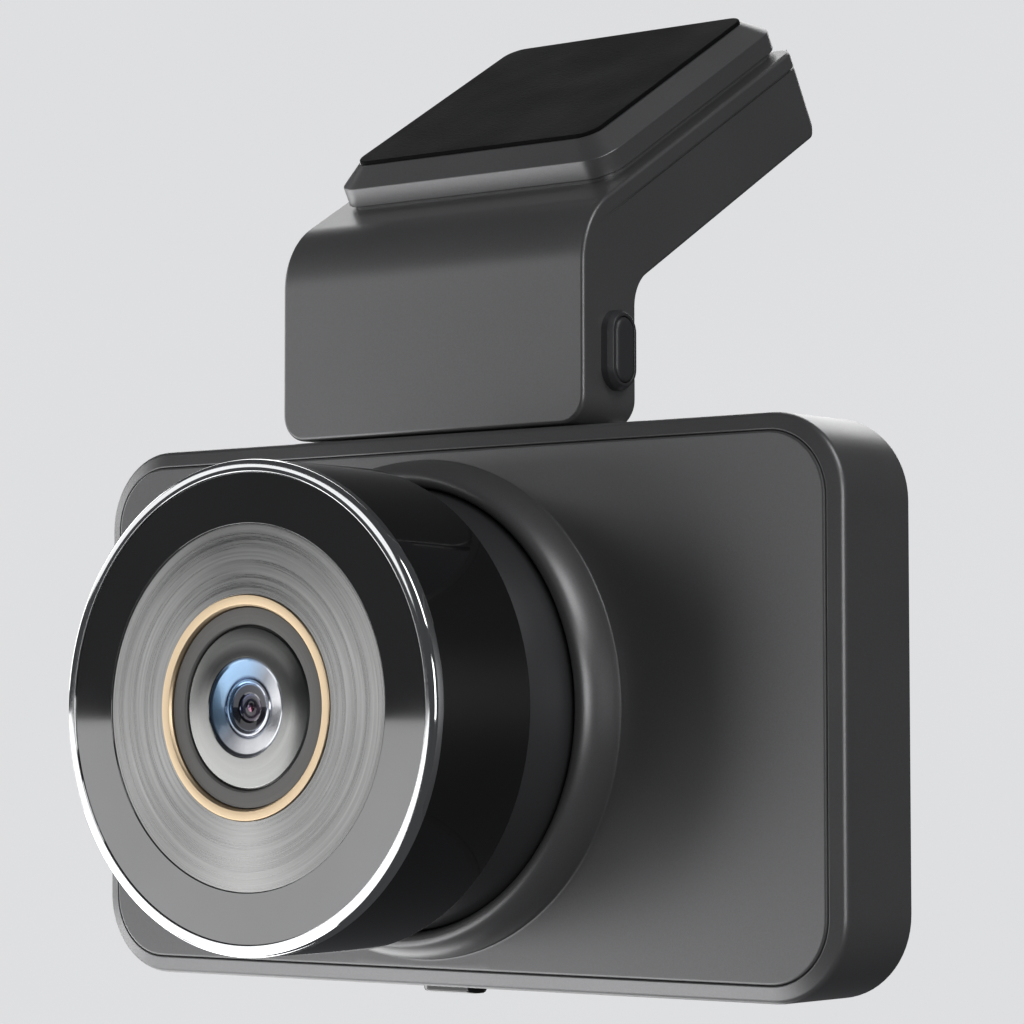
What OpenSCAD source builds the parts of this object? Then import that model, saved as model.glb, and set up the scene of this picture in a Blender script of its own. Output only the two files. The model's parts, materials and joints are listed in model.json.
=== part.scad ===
// Windscreen dash camera: a flat screen body with a tilting lens barrel, hung from a bent bracket.
// Working frame: x = 0 through bracket and barrel, y = 0 on the front panel, z = 0 under the body.
// place() then moves the whole model so that the origin is the middle of the adhesive pad's face.

/* [Camera body] */
// Width of the camera body
body_w = 92; // [90:1:98]
// Height of the camera body
body_h = 54; // [54:0.5:58]
// Depth of the camera body without the lens barrel
body_d = 12; // [12:0.5:15]
// Corner radius of the camera body seen from the front
corner_r = 8; // [7:0.5:9]
// Distance from the barrel's middle to the body's middle
body_shift = 3; // [1:0.5:4]
// Thickness of the housing's outer walls
wall = 1.5; // [1.3:0.1:1.7]
// Distance from the housing's edge to the front panel's edge
panel_inset = 1.7; // [1.6:0.1:2]

/* [Lens barrel] */
// Outer radius of the barrel
barrel_r = 23.04; // [22.6:0.02:23.2]
// Distance from the front panel to the barrel's front
barrel_front = 25.8; // [25.2:0.2:27]
// Distance from the front panel to the barrel's rear edge
barrel_rear = 12; // [11.6:0.2:12.4]
// Radius of the ball that the barrel tilts on
ball_r = 21.5; // [21.2:0.1:21.5]
// Distance from the front panel to the tilt axis
pivot_t = 2; // [1.8:0.1:2.2]

/* [Bracket] */
// Width of the bracket
bracket_w = 38.5; // [38:0.5:42]
// Depth of the upright stem
stem_d = 8.5; // [8.5:0.1:9.5]
// Height of the stem from its foot to the bend's corner
stem_h = 20; // [19:0.5:24]
// Slope of the arm above level
arm_tilt = 30.5; // [26:0.5:34]
// Thickness of the arm
arm_t = 9.4; // [9.2:0.1:10]
// Length of the arm along its top, from the bend's corner
arm_len = 42.4; // [41:0.2:46]
// Outside radius of the bend
bend_r = 8; // [7:0.5:9]

/* [Adhesive pad] */
// Width and length of the pad's base
pad_size = 35; // [33:0.5:36]
// Distance along the arm from the bend's corner to the pad
pad_start = 8; // [7:0.2:9]
// Height of the pad base's upright edge
pad_edge = 2.45; // [2.2:0.05:2.8]
// Height of the pad base's bevel
pad_bevel = 1.75; // [1.5:0.05:2]
// Thickness of the adhesive foam
foam_t = 0.4; // [0.4:0.1:0.8]

/* [Hidden] */
$fn = 48;

// colours
dark = "#2b2c2e";
gloss = "#0c0c0d";
board_green = "#1f5a3a";
metal = "#b9bcc0";
gold = "#d9b376";
chip = "#1a1a1c";

// clearances
gap = 0.1;
running = 0.05;
foot_gap = 0.2;

// body layers, as distances behind the front panel's face
rim_slope = 0.7;
rear_round = 1.1;
panel_t = 1.6;
web_front = panel_t + gap;
web_back = web_front + 1.2;
board_front = web_back + 3.1;
board_t = 1;
board_back = board_front + board_t;
frame_front = board_back + 0.9;
frame_t = 0.4;
glass_t = 0.8;
glass_front = body_d - 1;
ledge_front = glass_front - 0.8;
lcd_t = 2.2;
lcd_front = frame_front + frame_t;
mid_x = body_shift;
mid_z = body_h / 2;
board_w = 85;
board_h = 41.6;
boss_x = 39.5;
boss_z = 17.8;
boss_r = 2;
standoff_r = 3.2;
pilot_r = 0.7;
screw_r = 0.68;
frame_boss_x = [mid_x - 33, mid_x + 37];
frame_boss_z = mid_z - 2.1 - wall;

// turret, as distances in front of the panel
ring_r = ball_r + 0.4;
ring_out = 24.15;
ring_mid = 22.8;
ring_h = 4.4;
neck_t = 1.6;
neck_back = -0.6;
tube_in = barrel_r - 2.24;
flange_t = 1.5;
plate_back = barrel_front - 2.4;
trim_back = barrel_front - 1.2;
holder_r = 9;
post_at = 15.2;
sensor_t = barrel_rear - 4;

// bracket
stem_front = 1;
stem_back = stem_front + stem_d;
stem_z = body_h + foot_gap;
corner_z = stem_z + stem_h;
skin_t = 1.7;
fillet_r = 4;
foot_r = 2.75;
arm_corner_r = 2;
rake = 1;
arm_chamfer = 0.8;
turn = 90 - arm_tilt;
bend_c = [stem_front + bend_r, corner_z - bend_r * tan(turn / 2)];
inner_u = (stem_d - arm_t * sin(arm_tilt)) / cos(arm_tilt);
fillet_c = [stem_back + fillet_r, on_arm(inner_u, -arm_t)[1] - fillet_r * tan(turn / 2)];
bracket_screw_x = bracket_w / 2 - 4.25;
bracket_screw_u = [8.5, arm_len - 6.4];
pad_screw_x = 10;
pad_screw_u = [pad_start + 3.5, pad_start + pad_size - 4.5];
gps_u = pad_start + 16;
gps_d = -skin_t - 5.5;
gps_rise = arm_t + gps_d - wall;

// tongue that the camera hangs on, and the parts around it
tongue = [20, 4.2, 4];
tongue_y = stem_front + 4.3;
pin_x = [-6, -3, 0, 3, 6];
magnet = [5, 3.6, 1.9];
magnet_x = 14.5;
floor_t = 1.2;

// side button and charging socket
key_y = stem_front + 5;
key_z = stem_z + 7.3;
key_size = [2.9, 6.4];
collar_h = 1.25;
usb_y = stem_front + 4.57;
usb = [8.94, 3.26, 7.3];
stem_board_y = stem_back - wall - 0.8;

// bottom key, card and small parts
power_x = 0.2;
power_y = 5;
power_size = [7.2, 2.5];
power_out = 0.8;
card = [15, 0.7, 11];
card_z = 19.5;
card_y = 4.9;
card_out = 0.4;
body_left = mid_x - body_w / 2;
speaker_x = 27;

// pad
pad_mid_u = pad_start + pad_size / 2;
pad_inset = 1.9;
pad_top = pad_edge + pad_bevel;
origin = on_arm(pad_mid_u, pad_top + foam_t);

// Point of the side view that lies u along the arm's top and d above it
function on_arm(u, d) = [
  stem_front + u * cos(arm_tilt) - d * sin(arm_tilt),
  corner_z + u * sin(arm_tilt) + d * cos(arm_tilt)
];

// Points of an arc about c
function arc(c, r, from, to, steps = 10) = [
  for (i = [0:steps]) let (a = from + (to - from) * i / steps) c + r * [cos(a), sin(a)]
];

// Frames and extrusions

// Moves the working frame so that the pad face's middle is the origin
module place() {
  translate([0, -origin[0], -origin[1]]) children();
}

// Extrudes a front view (x, z) from y0 back to y1
module slab(y0, y1) {
  translate([0, y1, 0]) rotate([90, 0, 0]) linear_extrude(y1 - y0) children();
}

// Extrudes a side view (y, z) from x0 to x1
module across(x0, x1) {
  translate([x0, 0, 0]) rotate([90, 0, 90]) linear_extrude(x1 - x0) children();
}

// Frame of the arm's top: y runs along the arm and z stands square to it
module on_arm_top() {
  translate([0, stem_front, corner_z]) rotate([arm_tilt, 0, 0]) children();
}

// Frame of the barrel: z runs forward along the lens axis from the front panel
module on_lens_axis() {
  translate([0, 0, mid_z]) rotate([90, 0, 0]) children();
}

// Turns a half section (radius, distance forward) about the lens axis
module turned() {
  place() on_lens_axis() rotate_extrude() children();
}

// Flat ring section for turned()
module band(r0, r1, t0, t1) {
  translate([r0, t0]) square([r1 - r0, t1 - t0]);
}

// Rectangle with round corners about the origin
module rounded(w, h, r) {
  square([w - 2 * r, h], center = true);
  square([w, h - 2 * r], center = true);
  for (sx = [-1, 1]) {
    for (sy = [-1, 1]) {
      translate([sx * (w / 2 - r), sy * (h / 2 - r)]) circle(r);
    }
  }
}

// Pill of width w and length h, upright
module pill(w, h) {
  square([w, h - w], center = true);
  for (s = [-1, 1]) {
    translate([0, s * (h - w) / 2]) circle(w / 2);
  }
}

// Block from its low corner and its size
module block(low, size) {
  translate(low) cube(size);
}

// Screw pointing down z from its head's seat at z = 0, with a cross recess
module screw(head_r, head_h, shank_r, length) {
  difference() {
    cylinder(r = head_r, h = head_h);
    translate([0, 0, head_h]) cube([head_r * 1.2, 0.35, head_h], center = true);
    translate([0, 0, head_h]) cube([0.35, head_r * 1.2, head_h], center = true);
  }
  translate([0, 0, -length]) cylinder(r = shank_r, h = length);
}

// Camera body

// Front outline of the body, drawn in by an inset
module outline(inset) {
  translate([mid_x, mid_z]) rounded(body_w - 2 * inset, body_h - 2 * inset, corner_r - inset);
}

// Middle of each of the four board bosses
module at_bosses() {
  for (sx = [-1, 1]) {
    for (sz = [-1, 1]) {
      translate([mid_x + sx * boss_x, 0, mid_z + sz * boss_z]) rotate([-90, 0, 0]) children();
    }
  }
}

// Middle of each of the four display frame bosses
module at_frame_bosses() {
  for (x = frame_boss_x) {
    for (s = [-1, 1]) {
      translate([x, 0, mid_z + s * frame_boss_z]) rotate([-90, 0, 0]) children();
    }
  }
}

// Outer form of the housing, with a sloping front rim and a rounded rear edge
module housing_form() {
  hull() {
    slab(gap, rim_slope) outline(panel_inset - gap);
    slab(rim_slope, body_d - rear_round) outline(0);
    slab(body_d - gap, body_d) outline(rear_round);
  }
}

// Well in the housing's top that takes the bracket's tongue
module well() {
  block([-tongue[0] / 2 - 1.8, web_front, body_h - tongue[2] - floor_t - 0.1],
        [tongue[0] + 3.6, tongue[1] + 3.2, tongue[2] + floor_t - wall + 0.2]);
}

module well_cut() {
  translate([0, tongue_y, body_h - tongue[2] - 0.1])
    linear_extrude(tongue[2] + 1) rounded(tongue[0] + 0.6, tongue[1] + 0.6, 1.1);
}

module main_housing() {
  color(dark) place() difference() {
    union() {
      difference() {
        housing_form();
        slab(-1, web_front) outline(panel_inset);
        slab(web_back, ledge_front) outline(wall);
        slab(ledge_front - 1, glass_front) outline(3.5);
        slab(glass_front, body_d + 1) outline(panel_inset);
      }
      at_bosses() translate([0, 0, web_front]) cylinder(r = standoff_r, h = board_front - web_front);
      at_frame_bosses() translate([0, 0, web_front]) cylinder(r = 2.2, h = frame_front - web_front);
      well();
    }
    at_bosses() translate([0, 0, web_front - 1]) cylinder(r = boss_r + 0.2, h = body_d);
    at_frame_bosses() translate([0, 0, frame_front - 3.6]) cylinder(r = pilot_r, h = 4);
    on_lens_axis() translate([0, 0, -web_back - 1]) cylinder(r = ring_r + 0.5, h = 5);
    well_cut();
    for (x = pin_x) {
      block([x - 1, tongue_y - 1.3, body_h - tongue[2] - 0.4], [2, 2.6, 1]);
      translate([x, tongue_y, body_h - tongue[2] - 3]) cylinder(r = 0.45, h = 4);
    }
    translate([power_x, power_y, -1]) linear_extrude(wall + 2)
      rotate(90) pill(power_size[1] + 0.3, power_size[0] + 0.3);
    block([body_left - 1, card_y - 0.6, card_z - card[2] / 2 - 0.2], [wall + 2, 1.2, card[2] + 0.4]);
    for (i = [-2:2]) {
      translate([speaker_x + 2.2 * i, 4.4, -1]) cylinder(r = 0.5, h = wall + 2);
    }
    translate([-20, 4.5, -1]) cylinder(r = 0.4, h = wall + 2);
  }
}

// Front panel with the raised ring that the turret sits in
module front_panel() {
  color(dark) place() difference() {
    union() {
      slab(0, panel_t) outline(panel_inset + gap / 2);
      on_lens_axis() rotate_extrude() ring_section();
      at_bosses() translate([0, 0, 0.8]) cylinder(r = boss_r, h = board_front - 0.9);
    }
    on_lens_axis() translate([0, 0, -3]) cylinder(r = ring_r, h = ring_h + 4);
    at_bosses() translate([0, 0, board_front - 3.4]) cylinder(r = pilot_r, h = 5);
    for (s = [-1, 1]) {
      translate([s * (ring_r - 1), -pivot_t, mid_z]) rotate([0, s * 90, 0])
        cylinder(r = 1 + running, h = 2.5);
    }
  }
}

// Section of the raised ring: a quarter ellipse outside and a quarter circle inside
module ring_section() {
  lip = ring_mid - ring_r;
  polygon(concat(
    [[ring_r, -0.5], [ring_out, -0.5]],
    [for (a = [0:10:90]) [ring_mid + (ring_out - ring_mid) * cos(a), ring_h * sin(a)]],
    [for (a = [100:20:180]) [ring_mid + lip * cos(a), ring_h - lip + lip * sin(a)]]
  ));
}

module screen_glass() {
  color(gloss) place() slab(glass_front, glass_front + glass_t) outline(panel_inset + gap);
}

module display_gasket() {
  color(chip) place() slab(lcd_front + lcd_t, glass_front) translate([mid_x, mid_z]) difference() {
    square([72, 43], center = true);
    square([68, 38.6], center = true);
  }
}

module display_module() {
  color("#20242c") place() slab(lcd_front, lcd_front + lcd_t)
    translate([mid_x, mid_z]) rounded(72, 43, 0.8);
}

module display_frame() {
  lip_h = 1.5;
  color(metal) place() difference() {
    union() {
      slab(frame_front, lcd_front) outline(wall + 0.3);
      slab(lcd_front, lcd_front + lip_h) translate([mid_x, mid_z]) difference() {
        square([73.2, 44.2], center = true);
        square([72.2, 43.2], center = true);
      }
    }
    block([-tongue[0] / 2 - 2.3, frame_front - 1, body_h - tongue[2] - floor_t - 0.6],
          [tongue[0] + 4.6, lip_h + 2, 9]);
    at_frame_bosses() translate([0, 0, frame_front - 1]) cylinder(r = 0.9, h = 2);
  }
}

module frame_screws() {
  color(metal) place() at_frame_bosses() translate([0, 0, frame_front + frame_t])
    screw(1.2, 0.9, screw_r, 3.4);
}

module main_board() {
  color(board_green) place() slab(board_front, board_back) difference() {
    union() {
      translate([mid_x, mid_z]) rounded(board_w, board_h, 1.5);
      translate([power_x - 5, 3.4]) square([10, 4]);
    }
    for (sx = [-1, 1]) {
      for (sz = [-1, 1]) {
        translate([mid_x + sx * boss_x, mid_z + sz * boss_z]) circle(1.1);
      }
    }
  }
}

module board_screws() {
  color(metal) place() at_bosses() translate([0, 0, board_back]) screw(1.7, 0.8, screw_r, 3.8);
}

module processor() {
  color(chip) place() block([25, board_front - 1.2, 18], [14, 1.2, 14]);
}

module thermal_pad() {
  color("#8fa3ad") place() block([26, web_back + 1, 19], [12, 0.9, 12]);
}

module heat_spreader() {
  color(metal) place() block([24, web_back, 16.5], [17, 1, 17]);
}

module shield_can() {
  color(metal) place() difference() {
    block([25, board_front - 2, 34.5], [14, 2, 9]);
    block([25.3, board_front - 1.7, 34.8], [13.4, 2, 8.4]);
  }
}

module backup_cell() {
  color("#c7cbd0") place() translate([-32.4, 0, 34.4])
    slab(web_back + 0.1, board_front - 0.2) rounded(15.6, 12.6, 1.2);
}

module speaker() {
  color(chip) place() difference() {
    translate([speaker_x, 0, 7.4]) slab(web_back + 0.1, board_front - 0.2) rounded(15, 10.4, 2);
    translate([speaker_x, 4.4, 1]) cylinder(r = 1, h = 3);
  }
}

module microphone() {
  color(metal) place() translate([-20, 4.5, wall + 0.1]) difference() {
    cylinder(r = 1.4, h = 1.5);
    translate([0, 0, -1]) cylinder(r = 0.4, h = 2);
  }
}

module wifi_antenna() {
  color("#b5793a") place() block([mid_x + board_w / 2 - 1.5, web_back, 15], [2.5, 0.2, 25]);
}

// Push-in socket for the memory card, open to the body's left side
module card_socket() {
  color(metal) place() difference() {
    block([body_left + wall + 0.1, card_y - 1, card_z - 6.9], [14, 2.1, 13.8]);
    block([body_left, card_y - 0.45, card_z - card[2] / 2 - 0.1], [card[0] + 0.2, 0.9, card[2] + 0.2]);
  }
}

module memory_card() {
  low = [body_left - card_out, card_y - card[1] / 2, card_z - card[2] / 2];
  color(chip) place() difference() {
    block(low, card);
    translate(low + [card[0] - 2, -1, -1]) cube([5, 3, 2.3]);
  }
}

module power_switch() {
  color(metal) place() {
    block([power_x - 3, 3.6, 3.4], [6, board_front - 3.6, 2.3]);
    translate([power_x, power_y - 0.2, 2.75]) cylinder(r = 0.9, h = 0.65);
  }
}

// Key in the underside, with a flange inside that keeps it in
module power_key() {
  color(gloss) place() translate([power_x, power_y, 0]) {
    translate([0, 0, -power_out]) linear_extrude(wall + power_out + 0.1)
      rotate(90) pill(power_size[1], power_size[0]);
    translate([0, 0, wall + 0.1]) linear_extrude(0.6)
      rotate(90) pill(power_size[1] + 1, power_size[0] + 1);
  }
}

module contact_pads() {
  color(gold) place() for (x = pin_x) {
    block([x - 1, tongue_y - 1.3, body_h - tongue[2] - 0.4], [2, 2.6, 0.3]);
    translate([x, tongue_y, body_h - tongue[2] - 2.2]) cylinder(r = 0.4, h = 1.8);
  }
}

module magnet_keepers() {
  color(metal) place() for (s = [-1, 1]) {
    block([s * magnet_x - 2.5, tongue_y - 2.1, body_h - wall - 1.2], [5, 4.2, 1.2]);
  }
}

// Flat cable from the main board into the turret's ball, short of the sensor board
module sensor_ribbon() {
  color("#b5793a") place() {
    block([-4, board_front - 0.4, mid_z - 7], [8, 0.2, 7.1]);
    block([-4, -sensor_t + 0.8, mid_z - 0.1], [8, sensor_t + board_front - 1.2, 0.2]);
  }
}

// Bracket

// Side view of the bracket, with its front and top drawn in by a skin
module bracket_side(skin) {
  polygon(concat(
    [[stem_front + skin, stem_z], [stem_back, stem_z]],
    arc(fillet_c, fillet_r, 180, 90 + arm_tilt, 6),
    [
      on_arm(arm_len - rake - arm_chamfer, -arm_t),
      on_arm(arm_len - rake * (arm_t - arm_chamfer) / arm_t, arm_chamfer - arm_t),
      on_arm(arm_len - rake * skin / arm_t, -skin)
    ],
    arc(bend_c, bend_r - skin, 90 + arm_tilt, 180)
  ));
}

// Front view of the stem, with round corners at its foot
module stem_outline(inset) {
  r = foot_r - inset;
  w = bracket_w - 2 * inset;
  translate([-w / 2 + r, stem_z + inset]) square([w - 2 * r, 60]);
  translate([-w / 2, stem_z + inset + r]) square([w, 60]);
  for (s = [-1, 1]) {
    translate([s * (w / 2 - r), stem_z + inset + r]) circle(r);
  }
}

// View square to the arm's top, with round corners at its rear end
module arm_outline(inset) {
  r = arm_corner_r - inset;
  w = bracket_w - 2 * inset;
  translate([-w / 2 + r, -30]) square([w - 2 * r, arm_len - inset + 30]);
  translate([-w / 2, -30]) square([w, arm_len - inset - r + 30]);
  for (s = [-1, 1]) {
    translate([s * (w / 2 - r), arm_len - inset - r]) circle(r);
  }
}

// Keeps a side view within the stem's and the arm's outlines
module bracket_form(inset) {
  intersection() {
    across(-bracket_w, bracket_w) children();
    slab(-5, 80) stem_outline(inset);
    on_arm_top() translate([0, 0, -50]) linear_extrude(60) arm_outline(inset);
  }
}

// Frames of the screws that hold the cover, and of those that hold the pad base
module at_bracket_screws() {
  for (s = [-1, 1]) {
    for (u = bracket_screw_u) {
      on_arm_top() translate([s * bracket_screw_x, u, 0]) children();
    }
  }
}

module at_pad_screws() {
  for (s = [-1, 1]) {
    for (u = pad_screw_u) {
      on_arm_top() translate([s * pad_screw_x, u, 0]) children();
    }
  }
}

// Frames of the two screws that hold the positioning board
module at_gps_screws() {
  for (s = [-1, 1]) {
    on_arm_top() translate([0, gps_u + s * 11.5, gps_d]) children();
  }
}

// Rear shell: back and sides of the stem, underside and sides of the arm, and the tongue
module bracket_shell() {
  color(dark) place() difference() {
    union() {
      difference() {
        bracket_form(0) bracket_side(skin_t);
        bracket_form(wall) intersection() {
          bracket_side(skin_t - gap);
          offset(delta = -wall) bracket_side(-4);
        }
      }
      translate([0, tongue_y, stem_z - tongue[2]])
        linear_extrude(tongue[2] + 1) rounded(tongue[0], tongue[1], 0.8);
      at_gps_screws() translate([0, 0, -gps_rise - 0.5]) cylinder(r = 1.6, h = gps_rise + 0.5);
    }
    at_bracket_screws() {
      translate([0, 0, -arm_t - 1]) cylinder(r = 0.95, h = 4);
      translate([0, 0, -arm_t - 1]) cylinder(r = 1.9, h = 1.8);
    }
    at_gps_screws() translate([0, 0, -1.6]) cylinder(r = pilot_r, h = 2);
    across(bracket_w / 2 - 3, bracket_w / 2 + 1) translate([key_y, key_z])
      pill(key_size[0] + 0.3, key_size[1] + 0.3);
    across(-bracket_w / 2 - 1, -bracket_w / 2 + 3) translate([usb_y, key_z])
      rounded(usb[1] + 0.2, usb[0] + 0.2, 1.6);
    for (x = pin_x) {
      translate([x, tongue_y, stem_z - tongue[2] - 1]) cylinder(r = 0.72, h = tongue[2] + 4);
    }
    for (s = [-1, 1]) {
      translate([s * magnet_x, tongue_y, stem_z + 0.8]) linear_extrude(magnet[2])
        square([magnet[0] + gap, magnet[1] + gap], center = true);
    }
  }
}

// Front and top skin of the bracket, with the bosses that its screws bite into
module bracket_cover() {
  color(dark) place() difference() {
    union() {
      bracket_form(0) difference() {
        bracket_side(0);
        bracket_side(skin_t);
      }
      at_bracket_screws() translate([0, 0, wall - arm_t]) cylinder(r = 2, h = arm_t - wall - 0.5);
    }
    at_bracket_screws() translate([0, 0, -arm_t]) cylinder(r = pilot_r, h = 6);
    at_pad_screws() translate([0, 0, -skin_t - 1]) cylinder(r = 1, h = skin_t + 2);
  }
}

module bracket_screws() {
  color(metal) place() at_bracket_screws() translate([0, 0, 0.8 - arm_t])
    rotate([180, 0, 0]) screw(1.75, 0.7, screw_r, 4.6);
}

// Bevelled base plate of the adhesive pad on a slightly smaller plinth
module pad_base() {
  color(dark) place() difference() {
    on_arm_top() translate([0, pad_mid_u, 0]) {
      linear_extrude(0.4) rounded(pad_size - 0.8, pad_size - 0.8, 2.6);
      hull() {
        translate([0, 0, 0.35]) linear_extrude(pad_edge - 0.35) rounded(pad_size, pad_size, 3, $fn = 32);
        translate([0, 0, pad_top - 0.05]) linear_extrude(0.05)
          rounded(pad_size - 2 * pad_inset, pad_size - 2 * pad_inset, 2.2, $fn = 32);
      }
    }
    at_pad_screws() translate([0, 0, -1]) cylinder(r = pilot_r, h = 4);
  }
}

module pad_screws() {
  color(metal) place() at_pad_screws() translate([0, 0, -skin_t])
    rotate([180, 0, 0]) screw(1.8, 0.9, screw_r, 4.4);
}

module adhesive_pad() {
  side = pad_size - 2 * pad_inset - 0.3;
  color(chip) place() on_arm_top() translate([0, pad_mid_u, pad_top])
    linear_extrude(foam_t) rounded(side, side, 2);
}

// Raised collar around the side button
module button_collar() {
  color(dark) place() difference() {
    hull() {
      across(bracket_w / 2, bracket_w / 2 + 0.7) translate([key_y, key_z]) pill(4.4, 7.8, $fn = 32);
      across(bracket_w / 2, bracket_w / 2 + collar_h) translate([key_y, key_z]) pill(3.7, 7.1, $fn = 32);
    }
    across(bracket_w / 2 - 1, bracket_w / 2 + 3) translate([key_y, key_z])
      pill(key_size[0] + 0.2, key_size[1] + 0.2);
  }
}

// Button cap with a flange inside the wall that keeps it in
module side_button() {
  color(chip) place() translate([0, key_y, key_z]) {
    across(bracket_w / 2 - 2.1, bracket_w / 2 + collar_h + 0.15) pill(key_size[0], key_size[1]);
    across(bracket_w / 2 - 2.9, bracket_w / 2 - wall - 0.15) pill(key_size[0] + 0.6, key_size[1] + 1);
  }
}

module side_switch() {
  color(metal) place() {
    block([bracket_w / 2 - 7.6, stem_board_y - 2.8, key_z - 2.6], [4, 2.8, 5.2]);
    translate([bracket_w / 2 - 3.7, key_y, key_z]) rotate([0, 90, 0]) cylinder(r = 0.8, h = 0.35);
  }
}

module stem_board() {
  color(board_green) place() slab(stem_board_y, stem_board_y + 0.8)
    translate([0, stem_z + 8]) square([bracket_w - 2 * wall - 4.3, 12], center = true);
}

// Charging inlet in the bracket's left side: a pill-shaped shell, its tongue and its rear block
module usb_socket() {
  x0 = 0.1 - bracket_w / 2;
  color(metal) place() translate([0, usb_y, key_z]) {
    across(x0, x0 + usb[2]) difference() {
      rounded(usb[1], usb[0], 1.5);
      rounded(usb[1] - 0.7, usb[0] - 0.6, 1.25);
    }
    across(x0 + 0.8, x0 + usb[2]) square([0.7, 6.7], center = true);
    across(x0 + usb[2] - 1, x0 + usb[2]) rounded(usb[1], usb[0], 1.5);
  }
}

module contact_block() {
  color(chip) place() difference() {
    block([-8, tongue_y - 2, stem_z + wall], [16, 3.6, 3]);
    for (x = pin_x) {
      translate([x, tongue_y, stem_z]) cylinder(r = 0.7, h = 6);
    }
  }
}

module contact_pins() {
  color(gold) place() for (x = pin_x) {
    translate([x, tongue_y, stem_z - tongue[2] - 0.25]) cylinder(r = 0.45, h = 3);
    translate([x, tongue_y, stem_z - tongue[2] + 1.2]) cylinder(r = 0.65, h = tongue[2] + 3.8);
  }
}

module holding_magnets() {
  color(metal) place() for (s = [-1, 1]) {
    block([s * magnet_x - magnet[0] / 2, tongue_y - magnet[1] / 2, stem_z + 0.8], magnet);
  }
}

module gps_board() {
  color(board_green) place() difference() {
    on_arm_top() translate([0, gps_u, gps_d]) linear_extrude(1) square([24, 26], center = true);
    at_gps_screws() translate([0, 0, -1]) cylinder(r = 0.9, h = 3);
  }
}

// Ceramic patch antenna that receives the position signal
module gps_antenna() {
  color("#c9c2b0") place() on_arm_top() translate([0, gps_u, gps_d + 1])
    linear_extrude(4) rounded(18, 18, 0.6);
}

module gps_screws() {
  color(metal) place() at_gps_screws() translate([0, 0, 1]) screw(1.3, 0.7, 0.6, 2.3);
}

// Flat cable from the stem's board up to the positioning board
module bracket_ribbon() {
  end = on_arm(gps_u - 11, gps_d - 0.2);
  y0 = stem_board_y - 0.15;
  path = [[y0, stem_z + 9], [y0, stem_z + 15.3], on_arm(gps_u - 15, gps_d), end];
  color("#b5793a") place() across(3, 11) for (i = [0:len(path) - 2]) {
    hull() {
      translate(path[i]) circle(0.1, $fn = 16);
      translate(path[i + 1]) circle(0.1, $fn = 16);
    }
  }
}

// Lens barrel and turret

// Screw positions on the flange
module at_turret_screws() {
  for (a = [90, 210, 330]) {
    on_lens_axis() rotate(a) translate([post_at, 0, 0]) children();
  }
}

// Barrel tube with its front plate and three inner posts
module barrel_shell() {
  color(gloss) place() difference() {
    union() {
      on_lens_axis() rotate_extrude() {
        band(tube_in, barrel_r, barrel_rear, trim_back);
        band(9.4, barrel_r, plate_back, trim_back);
      }
      at_turret_screws() translate([0, 0, barrel_rear + flange_t])
        cylinder(r = 2, h = plate_back - barrel_rear - flange_t + 0.5);
    }
    at_turret_screws() translate([0, 0, barrel_rear]) cylinder(r = pilot_r, h = 8);
  }
}

// Ball that turns in the panel's ring, with the flange that closes the barrel's rear
module turret_neck() {
  color(gloss) place() difference() {
    union() {
      on_lens_axis() rotate_extrude() difference() {
        intersection() {
          translate([0, pivot_t]) circle(ball_r, $fn = 96);
          translate([0, neck_back]) square([ball_r + 1, barrel_rear - neck_back]);
        }
        translate([0, pivot_t]) circle(ball_r - neck_t, $fn = 96);
      }
      on_lens_axis() rotate_extrude()
        band(holder_r + 0.1, tube_in - 0.05, barrel_rear, barrel_rear + flange_t);
    }
    for (s = [-1, 1]) {
      translate([s * (ball_r - 4), -pivot_t, mid_z]) rotate([0, s * 90, 0]) cylinder(r = 1, h = 6);
    }
    at_turret_screws() translate([0, 0, barrel_rear - 1]) cylinder(r = 0.9, h = 4);
  }
}

module turret_screws() {
  color(metal) place() at_turret_screws() translate([0, 0, barrel_rear])
    rotate([180, 0, 0]) screw(1.5, 0.8, screw_r, 6);
}

// Stub pins on the tilt axis, held in the ball and turning in the ring
module pivot_pins() {
  color(metal) place() for (s = [-1, 1]) {
    translate([s * (ball_r - 2), -pivot_t, mid_z]) rotate([0, s * 90, 0]) cylinder(r = 1, h = 3.7);
  }
}

module chrome_ring() {
  color("#e8e9ea") turned() polygon([
    [tube_in + 1.07, trim_back],
    [barrel_r, trim_back],
    [barrel_r, barrel_front - 0.4],
    [barrel_r - 0.4, barrel_front],
    [tube_in + 1.07, barrel_front]
  ]);
}

module bezel_ring() {
  color(gloss) turned() band(17.08, tube_in + 1.05, trim_back, barrel_front - 0.15);
}

module brushed_disc() {
  color("#8d8d8c") turned() band(10.5, 17.05, trim_back, barrel_front - 0.25);
}

module gold_ring() {
  color(gold) turned() polygon([
    [9.4, trim_back], [10.45, trim_back], [10.45, barrel_front - 0.1], [9.4, barrel_front - 0.35]
  ]);
}

module lens_retainer() {
  color(dark) turned() band(7.7, 9.3, barrel_front - 3.2, barrel_front - 0.5);
}

// Slightly raised ring around the front lens
module lens_baffle() {
  color("#55585c") turned() polygon([
    [4.65, barrel_front - 3.2],
    [7.65, barrel_front - 3.2],
    [7.65, barrel_front - 0.85],
    [7.4, barrel_front - 0.65],
    [4.65, barrel_front - 0.3]
  ]);
}

// Lens element: a disc of radius r from t0 to t1 whose front bulges forward by h
module lens_section(r, t0, t1, h) {
  bulge_r = (r * r + h * h) / (2 * h);
  band(0, r, t0, t1);
  intersection() {
    translate([0, t1 + h - bulge_r]) circle(bulge_r, $fn = 96);
    translate([0, t1 - 0.1]) square([r, h + 0.2]);
  }
}

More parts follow.
